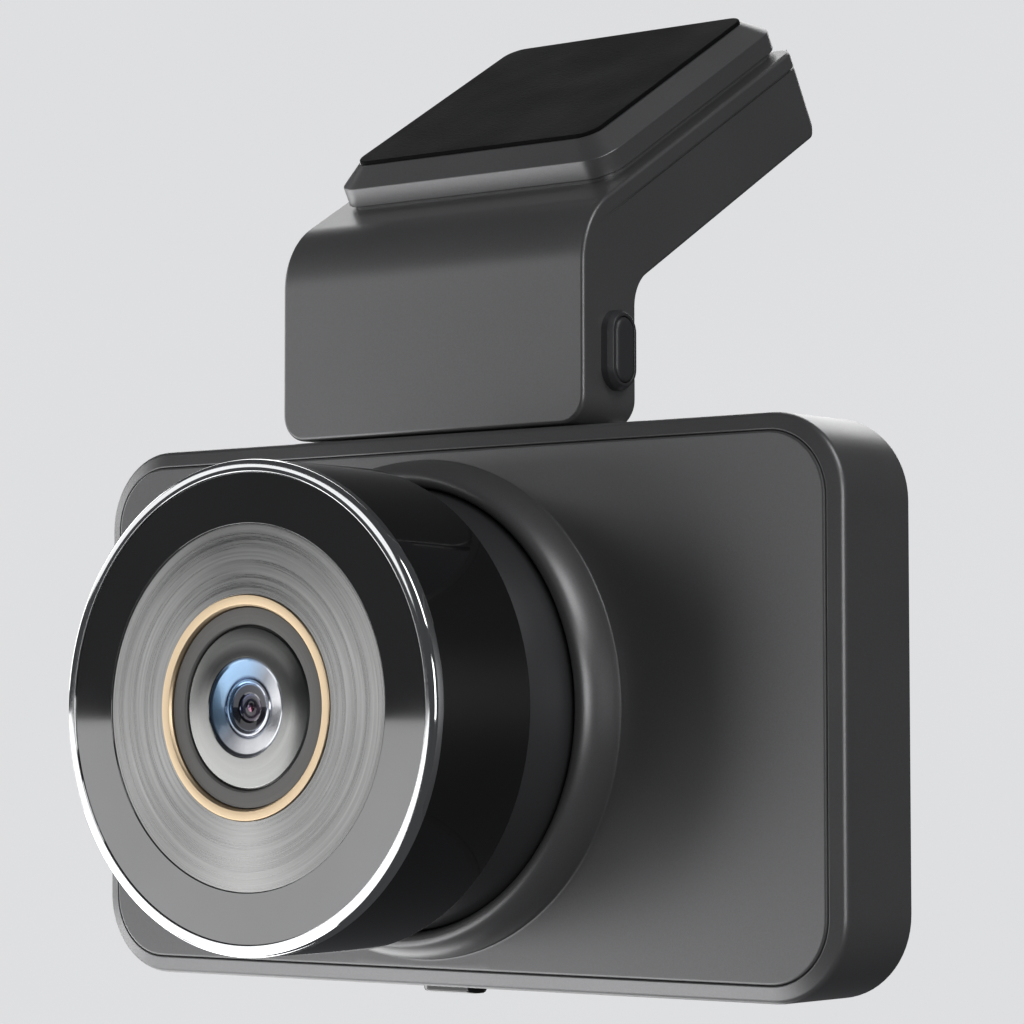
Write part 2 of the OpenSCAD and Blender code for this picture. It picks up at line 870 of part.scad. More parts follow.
module front_lens() {
  color("#2a3550") turned() {
    lens_section(4.5, barrel_front - 3.4, barrel_front - 0.65, 0.6);
    band(0, 5.4, barrel_front - 4.4, barrel_front - 3.4);
  }
}

// Threaded lens body with a seat for each element and a flange under the retainer
module lens_tube() {
  color(metal) turned() difference() {
    union() {
      band(0, 6, barrel_rear + 0.7, 20);
      band(0, 7.4, 19.5, barrel_front - 3.2);
      band(0, 9.2, barrel_front - 4.2, barrel_front - 3.2);
    }
    band(0, 5.45, barrel_front - 4.4, barrel_front);
    band(0, 4.6, barrel_rear + 1.7, barrel_front);
    band(0, 3.4, barrel_rear, barrel_front);
  }
}

module inner_lenses() {
  color("#5f7f9a") for (t = [14, 16.4, 18.8]) {
    turned() lens_section(4.55, t, t + 0.9, 0.7);
  }
}

// Holder that carries the lens in front of the sensor
module lens_holder() {
  color(chip) place() difference() {
    on_lens_axis() rotate_extrude() difference() {
      union() {
        band(0, holder_r, sensor_t + 1, barrel_rear + flange_t);
        band(0, 12, barrel_rear + flange_t, barrel_rear + flange_t + 1.2);
        band(0, 8.4, barrel_rear + flange_t + 1, 19);
      }
      band(0, 4, sensor_t, 20);
      band(0, 6.05, barrel_rear + 0.5, 20);
    }
    on_lens_axis() translate([-4.5, -4.5, sensor_t]) cube([9, 9, 3.5]);
  }
}

module ir_filter() {
  color("#7d4b55") place() on_lens_axis() translate([-4.4, -4.4, sensor_t + 3.1]) cube([8.8, 8.8, 0.4]);
}

module image_sensor() {
  color(chip) place() on_lens_axis() translate([-3.5, -2.8, sensor_t + 1]) cube([7, 5.6, 1]);
}

module sensor_board() {
  color(board_green) place() on_lens_axis() translate([0, 0, sensor_t])
    linear_extrude(1) rounded(17, 17, 1);
}

bracket_shell();
bracket_cover();
bracket_screws();
pad_base();
pad_screws();
adhesive_pad();
button_collar();
side_button();
side_switch();
stem_board();
usb_socket();
contact_block();
contact_pins();
holding_magnets();
gps_board();
gps_antenna();
gps_screws();
bracket_ribbon();
main_housing();
front_panel();
screen_glass();
display_gasket();
display_module();
display_frame();
frame_screws();
main_board();
board_screws();
processor();
thermal_pad();
heat_spreader();
shield_can();
backup_cell();
speaker();
microphone();
wifi_antenna();
card_socket();
memory_card();
power_switch();
power_key();
contact_pads();
magnet_keepers();
sensor_ribbon();
barrel_shell();
turret_neck();
turret_screws();
pivot_pins();
chrome_ring();
bezel_ring();
brushed_disc();
gold_ring();
lens_retainer();
lens_baffle();
front_lens();
lens_tube();
inner_lenses();
lens_holder();
ir_filter();
image_sensor();
sensor_board();
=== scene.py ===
"""Looks of the dash camera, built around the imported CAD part.

Shapes are in millimetres and noise scales are per metre, unless a line says otherwise.
"""

import json
import math

import bmesh
import bpy
from mathutils import Matrix, Vector


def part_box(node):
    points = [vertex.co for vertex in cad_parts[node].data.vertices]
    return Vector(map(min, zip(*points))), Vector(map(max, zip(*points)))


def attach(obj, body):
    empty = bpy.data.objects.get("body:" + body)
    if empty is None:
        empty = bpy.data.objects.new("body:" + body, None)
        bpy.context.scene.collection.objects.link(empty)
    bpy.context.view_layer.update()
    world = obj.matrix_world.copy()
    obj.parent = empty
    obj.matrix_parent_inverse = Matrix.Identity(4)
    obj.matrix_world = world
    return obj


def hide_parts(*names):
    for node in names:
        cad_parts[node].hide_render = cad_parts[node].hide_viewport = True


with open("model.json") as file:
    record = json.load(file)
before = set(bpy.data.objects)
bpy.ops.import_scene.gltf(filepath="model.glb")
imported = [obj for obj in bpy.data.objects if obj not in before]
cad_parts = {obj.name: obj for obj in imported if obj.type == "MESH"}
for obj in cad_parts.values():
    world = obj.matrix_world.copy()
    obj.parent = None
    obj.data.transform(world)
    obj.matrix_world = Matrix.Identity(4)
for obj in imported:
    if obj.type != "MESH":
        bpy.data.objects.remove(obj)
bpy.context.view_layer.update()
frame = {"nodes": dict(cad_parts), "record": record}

MM = 0.001
TAU = 2 * math.pi

# Base of the millimetre values: x = 0 on the lens axis, y = 0 on the panel's face, z = 0 under the body
barrel_low, barrel_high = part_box("barrel_shell")
body_low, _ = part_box("main_housing")
glass_low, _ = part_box("screen_glass")
GLASS_Y = 11                       # front of the rear screen's glass
BASE = Vector(((barrel_low.x + barrel_high.x) / 2, glass_low.y - GLASS_Y * MM, body_low.z))
AXIS_Z = ((barrel_low.z + barrel_high.z) / 2 - BASE.z) / MM

BODY = (3, 27, 92, 54, 8)          # middle x, middle z, width, height, corner radius
ARM_TILT = 30.5                    # arm's rise in degrees
ARM_START = (1, 74.2)              # y, z where the line of the arm's top begins
ARM_END = 90 + ARM_TILT            # angle at which an arc of the bend meets the arm's line
BEND = (9.0, 69.63, 8.0)           # middle y, middle z, outside radius of the bracket's bend
FILLET = (13.5, 66.01, 4.0)        # the same for the inside corner
BRACKET_HALF = 19.25
STEM = (1.0, 9.5, 54.2)            # front y, back y, lowest z
KEY = (6.0, 61.5)                  # side button's middle y, z
POWER_KEY = (0.2, 5)               # bottom key's middle x, y
TONGUE_Y = 5.3                     # middle of the bracket's tongue and of its well
PIN_X = (-6, -3, 0, 3, 6)          # contact pins
SCREW_X, SCREW_U = 15, (8.5, 36.0)  # screws under the arm: half spacing across, places along it
USB_Y = 5.57                       # middle of the charging inlet
CARD = (-43.4, -28.4, 14.0, 25.0)  # card's left, right, lowest and highest edge
PAD_U, PAD_SIDE = 25.5, 35         # pad's middle along the arm, length of its sides
PANEL_INSET = 1.75                 # front panel's edge, in from the body's outline
BALL_R, PIVOT_T = 21.5, 2.0        # turret's ball, and its middle in front of the panel
HOLE_R = 22.4                      # opening for the ball in the housing's web
RING_FOOT = 24.6                   # radius where the raised ring meets the flat panel
BARREL_R, BARREL_REAR = 23.04, 12.0
SEAT_T = 24.6                      # front of the barrel, on which the face's rings sit


def at(x, y, z):
    return BASE + Vector((x, y, z)) * MM


def on_arm(u, d):
    """(y, z) of the point u along the arm's top and d above it."""
    c, s = math.cos(math.radians(ARM_TILT)), math.sin(math.radians(ARM_TILT))
    return (ARM_START[0] + u * c - d * s, ARM_START[1] + u * s + d * c)


def at_arm(x, u, d):
    return at(x, *on_arm(u, d))


def on_axis(r, angle, t):
    """Point at radius r and t in front of the panel, about the lens axis."""
    return at(r * math.cos(angle), -t, AXIS_Z + r * math.sin(angle))


# ---------------------------------------------------------------- outlines

def arc(cx, cy, r, start, end, steps):
    out = []
    for k in range(steps + 1):
        a = math.radians(start + (end - start) * k / steps)
        out.append((cx + r * math.cos(a), cy + r * math.sin(a)))
    return out


def filleted(points, closed=True, step=15):
    """Polygon of (a, b, radius) with each corner rounded."""
    out, n = [], len(points)
    for i, (px, py, r) in enumerate(points):
        if r <= 0 or (not closed and i in (0, n - 1)):
            out.append((px, py))
            continue
        p = Vector((px, py))
        a = Vector(points[i - 1][:2]) - p
        b = Vector(points[(i + 1) % n][:2]) - p
        la, lb = a.length, b.length
        a.normalize()
        b.normalize()
        half = a.angle(b) / 2
        if half > math.radians(88):
            out.append((px, py))
            continue
        reach = min(r / math.tan(half), 0.48 * la, 0.48 * lb)
        r = reach * math.tan(half)
        middle = p + (a + b).normalized() * (r / math.sin(half))
        first, last = p + a * reach - middle, p + b * reach - middle
        steps = max(2, round(math.degrees(math.pi - 2 * half) / step))
        turn = first.angle_signed(last)
        for k in range(steps + 1):
            q = first.copy()
            q.rotate(Matrix.Rotation(-turn * k / steps, 2))
            out.append(tuple(middle + q))
    return out


def rounded(cx, cy, w, h, r, steps=12):
    """Rectangle with round corners, always with the same number of points."""
    r = max(r, 0.02)
    out = []
    for sx, sy, start in ((1, 1, 0), (-1, 1, 90), (-1, -1, 180), (1, -1, 270)):
        out += arc(cx + sx * (w / 2 - r), cy + sy * (h / 2 - r), r, start, start + 90, steps)
    return out


def body_outline(inset, steps=16):
    cx, cz, w, h, r = BODY
    return rounded(cx, cz, w - 2 * inset, h - 2 * inset, r - inset, steps)


def pill(cx, cy, w, h, steps=16):
    """Pill of width w and height h about (cx, cy)."""
    return rounded(cx, cy, w, h, min(w, h) / 2 - 0.001, steps)


# ---------------------------------------------------------------- meshes

def loft(rings, closed=False, bm=None):
    """Skin over rings of equally many points; open ends are capped."""
    bm = bm or bmesh.new()
    rows = [[bm.verts.new(p) for p in ring] for ring in rings]
    n = len(rings[0])
    pairs = list(zip(rows, rows[1:]))
    if closed:
        pairs.append((rows[-1], rows[0]))
    for a, b in pairs:
        for i in range(n):
            j = (i + 1) % n
            bm.faces.new((a[i], a[j], b[j], b[i]))
    if not closed:
        bm.faces.new(rows[0][::-1])
        bm.faces.new(rows[-1])
    return bm


def lathe(section, seg=192):
    """Turns a closed section of (r, t) about the lens axis. Points at r = 0 become poles."""
    bm = bmesh.new()
    angles = [TAU * k / seg for k in range(seg)]
    rows = []
    for r, t in section:
        if r < 1e-6:
            rows.append([bm.verts.new(on_axis(0, 0, t))])
        else:
            rows.append([bm.verts.new(on_axis(r, a, t)) for a in angles])
    for a, b in zip(rows, rows[1:] + rows[:1]):
        if len(a) == 1 and len(b) == 1:
            continue
        for i in range(seg):
            j = (i + 1) % seg
            quad = [a[i % len(a)], a[j % len(a)], b[j % len(b)], b[i % len(b)]]
            face = []
            for v in quad:
                if v not in face:
                    face.append(v)
            bm.faces.new(face)
    return bm


def prism(poly, low, high, to3d, bm=None):
    """Flat polygon carried from low to high; to3d(a, b, level) places it."""
    return loft([[to3d(a, b, low) for a, b in poly], [to3d(a, b, high) for a, b in poly]], bm=bm)


def across(a, b, x):
    return at(x, a, b)


def through(a, b, y):
    return at(a, y, b)


def upright(a, b, z):
    return at(a, b, z)


def above_arm(a, b, d):
    return at_arm(a, b, d)


def solid(bm, name="cutter"):
    bmesh.ops.recalc_face_normals(bm, faces=bm.faces)
    mesh = bpy.data.meshes.new(name)
    bm.to_mesh(mesh)
    bm.free()
    obj = bpy.data.objects.new(name, mesh)
    bpy.context.scene.collection.objects.link(obj)
    return obj


def bake(obj):
    """Applies the object's modifiers."""
    bpy.context.view_layer.update()
    graph = bpy.context.evaluated_depsgraph_get()
    mesh = bpy.data.meshes.new_from_object(obj.evaluated_get(graph))
    obj.modifiers.clear()
    old, obj.data = obj.data, mesh
    bpy.data.meshes.remove(old)


def discard(obj):
    mesh = obj.data
    bpy.data.objects.remove(obj)
    bpy.data.meshes.remove(mesh)


def boolean(obj, other, operation="DIFFERENCE", keep=False):
    mod = obj.modifiers.new("cut", "BOOLEAN")
    mod.operation, mod.object, mod.solver = operation, other, "EXACT"
    bake(obj)
    if not keep:
        discard(other)


def bevel(obj, width, segments=4, angle=35):
    mod = obj.modifiers.new("edge", "BEVEL")
    mod.width, mod.segments = width * MM, segments
    mod.limit_method, mod.angle_limit = "ANGLE", math.radians(angle)
    mod.use_clamp_overlap = False
    mod.miter_outer = "MITER_ARC"
    bake(obj)
    return obj


def duplicate(obj):
    twin = bpy.data.objects.new(obj.name, obj.data.copy())
    bpy.context.scene.collection.objects.link(twin)
    return twin


def piece(made, name, body, slot, nodes=(), sharp=32, weighted=True, paint=None):
    """Finishes a mesh as a visible piece that rides on a body and stands for CAD nodes."""
    obj = made if isinstance(made, bpy.types.Object) else solid(made)
    obj.name = obj.data.name = name
    bm = bmesh.new()
    bm.from_mesh(obj.data)
    bmesh.ops.remove_doubles(bm, verts=bm.verts, dist=1e-7)
    bmesh.ops.recalc_face_normals(bm, faces=bm.faces)
    bm.to_mesh(obj.data)
    bm.free()
    obj.data.materials.clear()
    obj.data.materials.append(paint or finish[slot])
    obj.data.shade_smooth()
    obj.data.set_sharp_from_angle(angle=math.radians(sharp))
    if weighted:
        mod = obj.modifiers.new("normals", "WEIGHTED_NORMAL")
        mod.keep_sharp, mod.weight = True, 80
        bake(obj)
    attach(obj, body)
    if nodes:
        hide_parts(*nodes)
    return obj


# ---------------------------------------------------------------- materials

class Nodes:
    """Small helper that builds one material's node tree."""

    def __init__(self, name):
        self.material = bpy.data.materials.new(name)
        self.material.use_nodes = True
        self.tree = self.material.node_tree
        self.shader = self.tree.nodes["Principled BSDF"]
        self.place = self.add("ShaderNodeTexCoord").outputs["Object"]

    def add(self, kind, **values):
        node = self.tree.nodes.new(kind)
        for key, value in values.items():
            setattr(node, key, value)
        return node

    def link(self, a, b):
        self.tree.links.new(a, b)

    def fixed(self, **values):
        names = {
            "metallic": "Metallic", "roughness": "Roughness", "ior": "IOR", "coat": "Coat Weight",
            "coat_roughness": "Coat Roughness", "anisotropic": "Anisotropic",
            "transmission": "Transmission Weight", "specular": "Specular IOR Level",
            "coat_ior": "Coat IOR", "coat_tint": "Coat Tint",
        }
        for key, value in values.items():
            if isinstance(value, tuple):
                value = (*value, 1)
            self.shader.inputs[names[key]].default_value = value

    def noise(self, scale, detail=2, rough=0.5, source=None, kind="ShaderNodeTexNoise"):
        node = self.add(kind)
        node.inputs["Scale"].default_value = scale
        if "Detail" in node.inputs:
            node.inputs["Detail"].default_value = detail
            node.inputs["Roughness"].default_value = rough
        self.link(source or self.place, node.inputs["Vector"])
        return node

    def math(self, operation, *values):
        node = self.add("ShaderNodeMath", operation=operation)
        for k, value in enumerate(values):
            if isinstance(value, (int, float)):
                node.inputs[k].default_value = value
            else:
                self.link(value, node.inputs[k])
        return node.outputs[0]

    def span(self, value, low, high, start=0.0, end=1.0, smooth=False):
        node = self.add("ShaderNodeMapRange")
        if smooth:
            node.interpolation_type = "SMOOTHSTEP"
        for key, v in (("From Min", start), ("From Max", end), ("To Min", low), ("To Max", high)):
            node.inputs[key].default_value = v
        self.link(value, node.inputs["Value"])
        return node.outputs["Result"]

    def ramp(self, value, *stops):
        node = self.add("ShaderNodeValToRGB")
        spare = node.color_ramp.elements
        while len(spare) < len(stops):
            spare.new(0.5)
        for element, (position, colour) in zip(spare, stops):
            element.position = position
            element.color = (*colour, 1)
        self.link(value, node.inputs["Fac"])
        return node.outputs["Color"]

    def bump(self, *layers):
        """Layers of (height, strength, distance in mm), each over the last."""
        normal = None
        for height, strength, distance in layers:
            node = self.add("ShaderNodeBump")
            node.inputs["Strength"].default_value = strength
            node.inputs["Distance"].default_value = distance * MM
            self.link(height, node.inputs["Height"])
            if normal is not None:
                self.link(normal, node.inputs["Normal"])
            normal = node.outputs["Normal"]
        self.link(normal, self.shader.inputs["Normal"])

    def colour(self, socket):
        self.link(socket, self.shader.inputs["Base Color"])

    def rough(self, socket):
        self.link(socket, self.shader.inputs["Roughness"])

    def from_axis(self):
        """Distance from the lens axis in metres, and the angle about it."""
        part = self.add("ShaderNodeSeparateXYZ")
        self.link(self.place, part.inputs[0])
        x = self.math("SUBTRACT", part.outputs["X"], BASE.x)
        z = self.math("SUBTRACT", part.outputs["Z"], BASE.z + AXIS_Z * MM)
        squares = self.math("ADD", self.math("MULTIPLY", x, x), self.math("MULTIPLY", z, z))
        return self.math("SQRT", squares), self.math("ARCTAN2", z, x)

    def turning(self, frequency, wander, detail=3, rough=0.6, start=0.0):
        """Concentric tool marks: noise that changes fast outwards and slowly along the turn."""
        radius, angle = self.from_axis()
        sine = self.math("ADD", self.math("MULTIPLY", self.math("SINE", angle), wander), start)
        cosine = self.math("MULTIPLY", self.math("COSINE", angle), wander)
        where = self.combined(self.math("MULTIPLY", radius, frequency), sine, cosine)
        return self.noise(1.0, detail, rough, where).outputs["Fac"]

    def mix(self, kind, factor, a, b):
        """Colour mix; factor, a and b are sockets or values."""
        node = self.add("ShaderNodeMix", data_type="RGBA", blend_type=kind)
        for key, value in (("Factor", factor), ("A", a), ("B", b)):
            if isinstance(value, float):
                node.inputs[key].default_value = value
            elif isinstance(value, tuple):
                node.inputs[key].default_value = (*value, 1)
            else:
                self.link(value, node.inputs[key])
        return node.outputs["Result"]

    def combined(self, x, y, z=0.0):
        node = self.add("ShaderNodeCombineXYZ")
        for k, value in enumerate((x, y, z)):
            if isinstance(value, (int, float)):
                node.inputs[k].default_value = value
            else:
                self.link(value, node.inputs[k])
        return node.outputs[0]


def shade(colour, factor):
    return tuple(min(1.0, c * factor) for c in colour)


def moulded(name, colour, rough, grain=0.35, size=5200, vary=0.12, **fixed):
    """Moulded plastic: fine grain, slow changes of tone and gloss, and faint flow marks."""
    m = Nodes(name)
    m.fixed(**fixed)
    slow = m.noise(70, 3).outputs["Fac"]
    fine = m.noise(size, 2, 0.6).outputs["Fac"]
    speck = m.noise(size * 0.45, kind="ShaderNodeTexVoronoi").outputs["Distance"]
    tone = m.math("ADD", m.math("MULTIPLY", slow, 0.6), m.math("MULTIPLY", fine, 0.4))
    m.colour(m.ramp(tone, (0.25, shade(colour, 1 - vary)), (0.75, shade(colour, 1 + vary))))
    m.rough(m.span(tone, rough * 0.92, rough * 1.1, 0.3, 0.7))
    m.bump((fine, grain, 0.012), (speck, grain * 0.5, 0.01))
    return m


def metal(name, colour, rough, size=2600, vary=0.1, strength=0.15, **fixed):
    """Machined or plated metal: fine tool marks and slight tarnish."""
    m = Nodes(name)
    m.fixed(metallic=1.0, **fixed)
    stretch = m.add("ShaderNodeMapping")
    stretch.inputs["Scale"].default_value = (0.08, 1, 1)
    m.link(m.place, stretch.inputs["Vector"])
    marks = m.noise(size, 3, 0.6, stretch.outputs[0]).outputs["Fac"]
    slow = m.noise(160, 2).outputs["Fac"]
    m.colour(m.ramp(slow, (0.3, shade(colour, 1 - vary)), (0.7, shade(colour, 1 + vary))))
    m.rough(m.span(marks, rough * 0.85, rough * 1.2, 0.3, 0.7))
    m.bump((marks, strength, 0.006))
    return m


finish = {}

# Satin case: dark metallic paint with very fine flakes
m = Nodes("shell_plastic")
m.fixed(metallic=0.62, ior=1.5)
slow = m.noise(45, 3).outputs["Fac"]
grain = m.noise(6400, 2, 0.6).outputs["Fac"]
flake = m.noise(9000, kind="ShaderNodeTexVoronoi").outputs["Color"]
spark = m.math("MULTIPLY", flake, 0.5)
flakes = m.math("ADD", m.math("MULTIPLY", grain, 0.25), m.math("MULTIPLY", spark, 0.5))
tone = m.math("ADD", m.math("MULTIPLY", slow, 0.5), flakes)
m.colour(m.ramp(tone, (0.3, (0.185, 0.185, 0.189)), (0.75, (0.225, 0.225, 0.230))))
m.rough(m.span(slow, 0.34, 0.40, 0.3, 0.7))
m.bump((grain, 0.16, 0.006), (flake, 0.05, 0.004))
finish["shell_plastic"] = m.material

finish["key_plastic"] = moulded("key_plastic", (0.075, 0.076, 0.080), 0.38, 0.25, metallic=0.35).material

m = moulded("gloss_black", (0.010, 0.010, 0.011), 0.07, 0.03, 1500, coat=0.5, coat_roughness=0.03, ior=1.5)
finish["gloss_black"] = m.material

m = Nodes("adhesive_foam")
m.fixed(specular=0.12)
cells = m.noise(2600, kind="ShaderNodeTexVoronoi").outputs["Distance"]
slow = m.noise(120, 3).outputs["Fac"]
m.colour(m.ramp(slow, (0.3, (0.0045, 0.0045, 0.005)), (0.7, (0.008, 0.008, 0.0085))))
m.rough(m.span(slow, 0.78, 0.92, 0.3, 0.7))
m.bump((cells, 0.5, 0.05), (slow, 0.2, 0.05))
finish["adhesive_foam"] = m.material

finish["screw_steel"] = metal("screw_steel", (0.30, 0.30, 0.31), 0.32).material
finish["sheet_metal"] = metal("sheet_metal", (0.62, 0.62, 0.63), 0.28).material
finish["chrome_trim"] = metal("chrome_trim", (0.86, 0.87, 0.88), 0.06, 900, 0.02, 0.02).material
finish["contact_gold"] = metal("contact_gold", (0.83, 0.62, 0.27), 0.2).material
finish["lens_metal"] = metal("lens_metal", (0.05, 0.05, 0.055), 0.35).material
finish["cell_foil"] = metal("cell_foil", (0.62, 0.63, 0.65), 0.3, 700).material

# Turned alloy disc: concentric tool marks, read with an anisotropic gloss, and painted highlight fans at
# its top and bottom
m = Nodes("brushed_alloy")
m.fixed(metallic=1.0, anisotropic=0.88)
_, angle = m.from_axis()
rings = m.turning(5200, 0.5, 4, 0.65)
bands = m.turning(1500, 0.35, 4, 0.65, 7.0)
mixed = m.math("ADD", m.math("MULTIPLY", rings, 0.4), m.math("MULTIPLY", bands, 0.6))
# painted highlight: the disc is painted lighter towards its top and bottom
painted_highlight_fans = m.math("POWER", m.math("ABSOLUTE", m.math("SINE", angle)), 12.0)
tone = m.math("ADD", mixed, m.math("MULTIPLY", painted_highlight_fans, 0.18))
m.colour(m.ramp(tone, (0.32, (0.25, 0.25, 0.247)), (0.5, (0.34, 0.34, 0.337)), (0.75, (0.60, 0.60, 0.594))))
m.rough(m.span(mixed, 0.22, 0.36, 0.35, 0.65))
m.bump((rings, 0.3, 0.008), (bands, 0.35, 0.02))
tangent = m.add("ShaderNodeTangent", direction_type="RADIAL", axis="Y")
m.link(tangent.outputs[0], m.shader.inputs["Tangent"])
finish["brushed_alloy"] = m.material

m = Nodes("gold_alloy")
m.fixed(metallic=1.0)
rings = m.turning(3000, 0.4)
m.colour(m.ramp(rings, (0.3, (0.96, 0.74, 0.49)), (0.7, (1.0, 0.80, 0.55))))
m.rough(m.span(rings, 0.36, 0.46, 0.3, 0.7))
m.bump((rings, 0.1, 0.005))
finish["gold_alloy"] = m.material

# Circuit board: solder mask with faint tracks
m = Nodes("circuit_board")
m.fixed(coat=0.3, coat_roughness=0.15)
brick = m.add("ShaderNodeTexBrick")
brick.inputs["Scale"].default_value = 420
brick.inputs["Mortar Size"].default_value = 0.03
m.link(m.place, brick.inputs["Vector"])
slow = m.noise(300, 3).outputs["Fac"]
m.colour(m.ramp(slow, (0.3, (0.006, 0.050, 0.022)), (0.7, (0.010, 0.080, 0.036))))
m.rough(m.span(slow, 0.35, 0.5, 0.3, 0.7))
m.bump((brick.outputs["Fac"], 0.3, 0.03))
finish["circuit_board"] = m.material

finish["chip_black"] = moulded("chip_black", (0.012, 0.012, 0.013), 0.5, 0.5, 3000).material
finish["ceramic"] = moulded("ceramic", (0.55, 0.50, 0.40), 0.45, 0.3, 2400).material
finish["ribbon_film"] = moulded("ribbon_film", (0.42, 0.20, 0.06), 0.35, 0.1, 900).material
finish["display_panel"] = moulded("display_panel", (0.010, 0.012, 0.016), 0.2, 0.05, 800).material

# Rear screen: black glass with the display's area just visible through it
DISPLAY_RISE = 0.6                 # display's middle above the body's
DISPLAY_HALF = (33.6 * MM, 19.2 * MM)
m = Nodes("screen_glass")
m.fixed(ior=1.5, coat=0.6, coat_roughness=0.02)
part = m.add("ShaderNodeSeparateXYZ")
m.link(m.place, part.inputs[0])
dx = m.math("ABSOLUTE", m.math("SUBTRACT", part.outputs["X"], BASE.x + BODY[0] * MM))
dz = m.math("ABSOLUTE", m.math("SUBTRACT", part.outputs["Z"], BASE.z + (BODY[1] + DISPLAY_RISE) * MM))
edge = 0.2 * MM
inside = m.math("MULTIPLY", m.span(dx, 1, 0, DISPLAY_HALF[0] - edge, DISPLAY_HALF[0]),
                m.span(dz, 1, 0, DISPLAY_HALF[1] - edge, DISPLAY_HALF[1]))
film = m.noise(120, 3).outputs["Fac"]
lit = m.math("MULTIPLY", inside, m.span(film, 0.85, 1.0, 0.3, 0.7))
m.colour(m.ramp(lit, (0.0, (0.0045, 0.0045, 0.005)), (1.0, (0.017, 0.019, 0.023))))
m.rough(m.span(film, 0.05, 0.09, 0.3, 0.7))
m.bump((film, 0.04, 0.02))
finish["screen_glass"] = m.material

# Coated lens glass
m = Nodes("lens_glass")
m.fixed(transmission=1.0, ior=1.62)
m.fixed(coat=1.0, coat_roughness=0.01, coat_ior=1.9, coat_tint=(0.75, 0.86, 1.0))
film = m.noise(90, 3).outputs["Fac"]
m.colour(m.ramp(film, (0.3, (0.90, 0.93, 1.0)), (0.7, (0.96, 0.98, 1.0))))
m.rough(m.span(film, 0.0, 0.015, 0.3, 0.7))
finish["lens_glass"] = m.material

# Dark mirror of the bezel, smoother and more reflective than the case
m = Nodes("bezel_mirror")
m.fixed(metallic=0.9, coat=0.3, coat_roughness=0.02)
film = m.noise(60, 3).outputs["Fac"]
fine = m.noise(3000, 2).outputs["Fac"]
m.colour(m.ramp(film, (0.3, (0.185, 0.185, 0.187)), (0.7, (0.205, 0.205, 0.208))))
m.rough(m.span(film, 0.03, 0.05, 0.3, 0.7))
m.bump((fine, 0.01, 0.002))
bezel_mirror = m.material

# Retaining ring: fine matt turning marks
m = Nodes("retainer_grey")
m.fixed(metallic=0.55)
rings = m.turning(4200, 0.4)
m.colour(m.ramp(rings, (0.3, (0.20, 0.197, 0.193)), (0.7, (0.25, 0.246, 0.241))))
m.rough(m.span(rings, 0.5, 0.62, 0.3, 0.7))
m.bump((rings, 0.12, 0.006))
retainer_grey = m.material

# Front lens: coated steps with painted light: bright painted reflection rings round a pupil painted dark as
# shade, a painted bluish reflection on one side and a painted white highlight on the other
m = Nodes("lens_coating_and_painted_light")
m.fixed(metallic=0.85, coat=1.0, coat_roughness=0.01, ior=1.6)
radius, angle = m.from_axis()
# painted reflection by the angle about the axis: bluish towards the upper left, white towards the lower
# right, dimmed between
painted_reflection_bearing = m.math("COSINE", m.math("SUBTRACT", angle, math.radians(140)))
painted_reflection_weight = m.math("POWER", m.math("ABSOLUTE", painted_reflection_bearing), 1.4)
side = m.ramp(m.span(painted_reflection_bearing, 0, 1, -1, 1), (0.2, (0.95, 0.94, 0.95)), (0.5, (0.35, 0.37, 0.42)),
              (0.8, (0.36, 0.58, 0.84)))
COATING_R = 4.5                    # radius at the last stop of the coating's steps
# ring colours: coating tints, painted reflections on the bright rings and painted shade in the dark pupil
step = m.ramp(m.math("MULTIPLY", radius, 1 / (COATING_R * MM)),
              (0.0, (0.75, 0.30, 0.42)), (0.07, (0.30, 0.10, 0.18)), (0.10, (0.012, 0.008, 0.014)),
              (0.24, (0.05, 0.035, 0.06)), (0.27, (0.20, 0.15, 0.22)), (0.30, (0.015, 0.012, 0.02)),
              (0.46, (0.02, 0.02, 0.035)), (0.50, (0.60, 0.64, 0.76)), (0.58, (0.85, 0.88, 0.95)),
              (0.62, (0.16, 0.19, 0.27)), (0.68, (0.75, 0.77, 0.80)), (0.94, (0.90, 0.92, 0.95)),
              (1.0, (0.20, 0.22, 0.25)))
film = m.mix("MULTIPLY", 1.0, step, side)
# painted shade: the lens is dimmed where the painted reflection is weak
m.colour(m.mix("MIX", m.span(painted_reflection_weight, 0.35, 0.0), film, (0.05, 0.055, 0.065)))
dust = m.noise(900, 2).outputs["Fac"]
m.rough(m.span(dust, 0.16, 0.22, 0.3, 0.7))
lens_coating_and_painted_light = m.material

# Polished dish around the lens, with painted shade that makes its upper half darker
m = Nodes("lens_dish_painted_shade")
m.fixed(metallic=1.0)
_, angle = m.from_axis()
rings = m.turning(2500, 0.3)
# painted shade: darker towards the top of the dish
upper = m.math("SINE", m.math("ADD", angle, math.radians(14)))
tone = m.math("ADD", m.math("MULTIPLY", rings, 0.12), m.span(upper, 0.0, 0.88, -0.12, 0.5, smooth=True))
m.colour(m.ramp(tone, (0.0, (0.40, 0.405, 0.395)), (1.0, (0.12, 0.125, 0.120))))
m.rough(m.span(rings, 0.2, 0.26, 0.3, 0.7))
m.bump((rings, 0.04, 0.004))
lens_dish_painted_shade = m.material


# ---------------------------------------------------------------- camera body

def reach(angle, inset):
    """Distance from the lens axis to the body's outline drawn in by inset."""
    cx, cz, w, h, r = BODY
    r -= inset
    half = (w / 2 - inset - r, h / 2 - inset - r)
    low, high = 0.0, 60.0
    for _ in range(42):  # halving, down to far below a micrometre
        d = (low + high) / 2
        qx = abs(d * math.cos(angle) - cx) - half[0]
        qz = abs(AXIS_Z + d * math.sin(angle) - cz) - half[1]
        gap = math.hypot(max(qx, 0), max(qz, 0)) + min(max(qx, qz), 0) - r
        low, high = (d, high) if gap < 0 else (low, d)
    return (low + high) / 2


